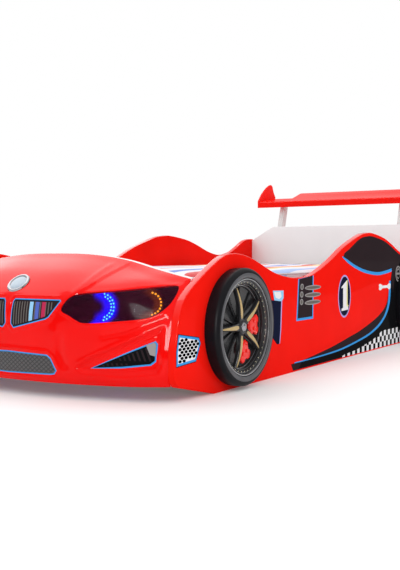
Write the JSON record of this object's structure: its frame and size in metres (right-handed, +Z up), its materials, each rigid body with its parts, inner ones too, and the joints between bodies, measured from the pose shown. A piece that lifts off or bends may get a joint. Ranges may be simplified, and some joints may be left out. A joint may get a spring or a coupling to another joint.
{
  "type": "toddler bed",
  "caption": "Racing-car bed with shaped side boards, a moulded nose with lit headlights, moulded wheels, a slatted base with mattress and a rear wing.",
  "frame": {"origin": "floor level, at the middle of the bed's overall length and width", "axes": "+Z up; -Y towards the nose and +Y towards the headboard and wing; +X towards the bed's left side"},
  "size_m": [1.051, 2.4687, 0.75],
  "materials": {
    "side_board_red": "high-gloss red foil on fibreboard",
    "white_board": "satin white foil on fibreboard",
    "pine": "sawn pine, unfinished",
    "webbing": "woven polyester tape",
    "zinc_steel": "zinc-plated steel",
    "mattress_cover": "printed woven cover over foam",
    "red_shell": "high-gloss moulded ABS",
    "badge_chrome": "bright plated plastic",
    "smoked_lens": "dark smoked acrylic",
    "black_plastic": "fine-grained moulded plastic",
    "blue_led": "lit blue lamps on a board",
    "amber_led": "lit amber lamps on a board",
    "tyre_plastic": "satin black moulded plastic",
    "rim_plastic": "dark metallic paint on moulded plastic",
    "caliper_red": "gloss red moulded plastic",
    "grey_post": "light grey moulded plastic",
    "circuit_green": "solder-masked circuit board",
    "bezel_steel": "turned steel",
    "button_blue": "moulded cap",
    "cable_black": "soft sheathed cable",
    "clip_white": "moulded nylon",
    "printed_film_blue": "printed self-adhesive film, blue outlines",
    "printed_film_dark": "printed self-adhesive film, dark areas",
    "printed_film_white": "printed self-adhesive film, white areas",
    "rim_gold": "gold paint on the spokes"
  },
  "bodies": {
    "bed": {"side_panel_left": "side_board_red", "side_panel_right": "side_board_red", "headboard": "white_board", "footboard": "white_board", "ledger_left": "pine", "ledger_right": "pine", "centre_beam": "pine", "beam_legs": "pine", "slats": "pine", "slat_tapes": "webbing", "corner_brackets": "zinc_steel", "bracket_screws": "zinc_steel", "ledger_screws": "zinc_steel", "front_shell": "red_shell", "nose_screws": "zinc_steel", "badge_blank": "badge_chrome", "headlight_lens_left": "smoked_lens", "headlight_lens_right": "smoked_lens", "headlight_housing_left": "black_plastic", "headlight_housing_right": "black_plastic", "led_ring_blue_left": "blue_led", "led_ring_blue_right": "blue_led", "led_ring_amber_left": "amber_led", "led_ring_amber_right": "amber_led", "tyre_front_left": "tyre_plastic", "tyre_front_right": "tyre_plastic", "tyre_rear_left": "tyre_plastic", "tyre_rear_right": "tyre_plastic", "rim_front_left": "rim_plastic", "rim_front_right": "rim_plastic", "rim_rear_left": "rim_plastic", "rim_rear_right": "rim_plastic", "calipers_front_left": "caliper_red", "calipers_front_right": "caliper_red", "calipers_rear_left": "caliper_red", "calipers_rear_right": "caliper_red", "hub_cap_front_left": "badge_chrome", "hub_cap_front_right": "badge_chrome", "hub_cap_rear_left": "badge_chrome", "hub_cap_rear_right": "badge_chrome", "wheel_screws": "zinc_steel", "wing_blade": "red_shell", "wing_endplate_left": "red_shell", "wing_endplate_right": "red_shell", "wing_post_left": "grey_post", "wing_post_right": "grey_post", "wing_screws": "zinc_steel", "control_box": "black_plastic", "circuit_board": "circuit_green", "dc_inlet": "black_plastic", "button_bezel": "bezel_steel", "wiring_loom": "cable_black", "loom_branch": "cable_black", "cable_splitter": "clip_white", "loom_clips": "clip_white"},
    "mattress": {"mattress": "mattress_cover"},
    "light_button": {"light_button": "button_blue"}
  },
  "joints": [
    {"name": "mattress_lift", "type": "slide", "parent": "bed", "child": "mattress", "axis": [0, 0, 1], "range_m": [0, 0.45]},
    {"name": "light_button_push", "type": "slide", "parent": "bed", "child": "light_button", "axis": [0, -1, 0], "range_m": [0, 0.003], "stiffness_N_per_m": 400}
  ]
}
